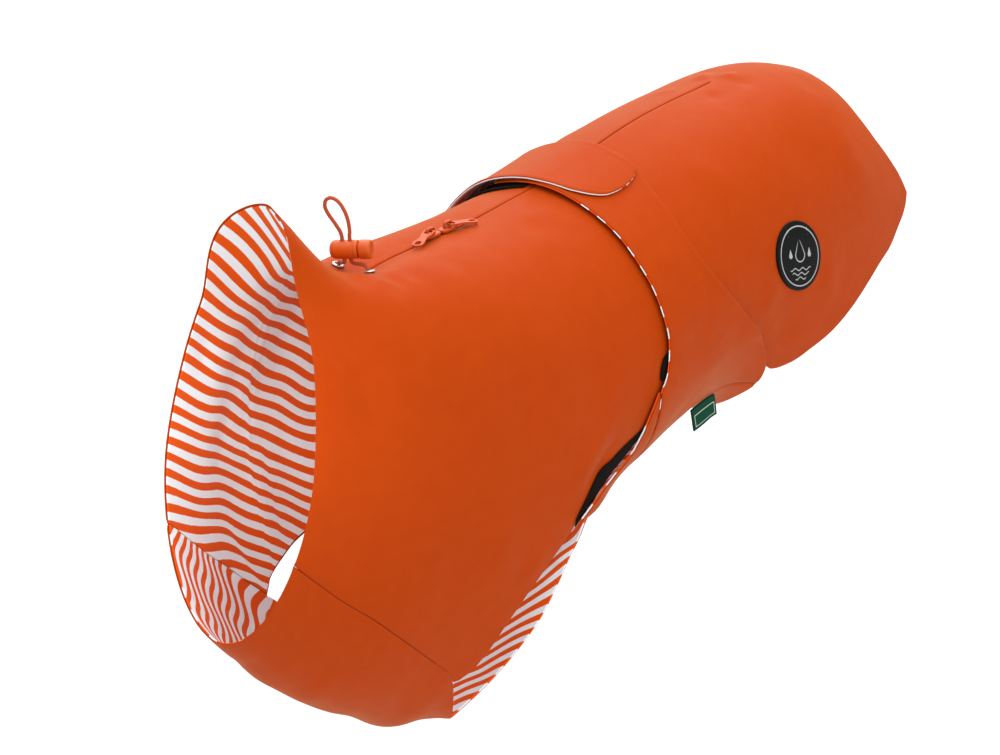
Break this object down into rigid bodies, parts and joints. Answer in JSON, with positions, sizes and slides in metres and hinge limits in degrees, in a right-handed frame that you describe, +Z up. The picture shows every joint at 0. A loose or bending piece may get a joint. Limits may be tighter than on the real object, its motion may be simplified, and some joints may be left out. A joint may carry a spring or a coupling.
{
  "type": "dog raincoat",
  "caption": "Worn-shape dog raincoat with neck tube, chest strip, belly band closing over the back, centre-back zip, neck drawcord and striped lining, hollow and open at neck, legs and rump.",
  "frame": {"origin": "on the centre back under the belly band, where the wearer's back carries the coat", "axes": "+Z up, -Y towards the wearer's head, +X towards the wearer's left side"},
  "size_m": [0.218, 0.636, 0.3847],
  "materials": {
    "rain_cloth": "matt woven rain cloth",
    "striped_lining": "white jersey with orange stripes",
    "fastening_tape": "black tape",
    "orange_plastic": "satin moulded",
    "painted_metal": "satin lacquer",
    "eyelet_metal": "nickel plated",
    "cord": "braided",
    "badge_rubber": "matt",
    "label_cloth": "woven"
  },
  "bodies": {
    "coat": {"body_shell": "rain_cloth", "body_lining": "striped_lining", "chest_panel": "rain_cloth", "chest_lining": "striped_lining", "belly_panel": "rain_cloth", "belly_lining": "striped_lining", "left_wing": "rain_cloth", "left_wing_lining": "striped_lining", "right_wing": "rain_cloth", "right_wing_lining": "striped_lining", "back_tape": "fastening_tape", "left_tape": "fastening_tape", "right_tape": "fastening_tape", "side_label": "label_cloth", "badge": "badge_rubber", "zip_chain": "fastening_tape", "zip_slider_front": "painted_metal", "zip_slider_rear": "painted_metal", "cord_lock": "orange_plastic", "cord_lock_button": "orange_plastic", "eyelet_left": "eyelet_metal", "eyelet_right": "eyelet_metal", "draw_cord": "cord"},
    "pull_front": {"zip_pull_front": "painted_metal"},
    "pull_rear": {"zip_pull_rear": "painted_metal"}
  },
  "joints": [
    {"name": "front_pull_hinge", "type": "hinge", "parent": "coat", "child": "pull_front", "pos_m": [0, -0.12749, -0.00186], "axis": [-0.9613, -0.2756, 0], "range_deg": [0, 100]},
    {"name": "rear_pull_hinge", "type": "hinge", "parent": "coat", "child": "pull_rear", "pos_m": [0, -0.11095, -0.00227], "axis": [0.9511, -0.309, 0], "range_deg": [0, 100]}
  ]
}
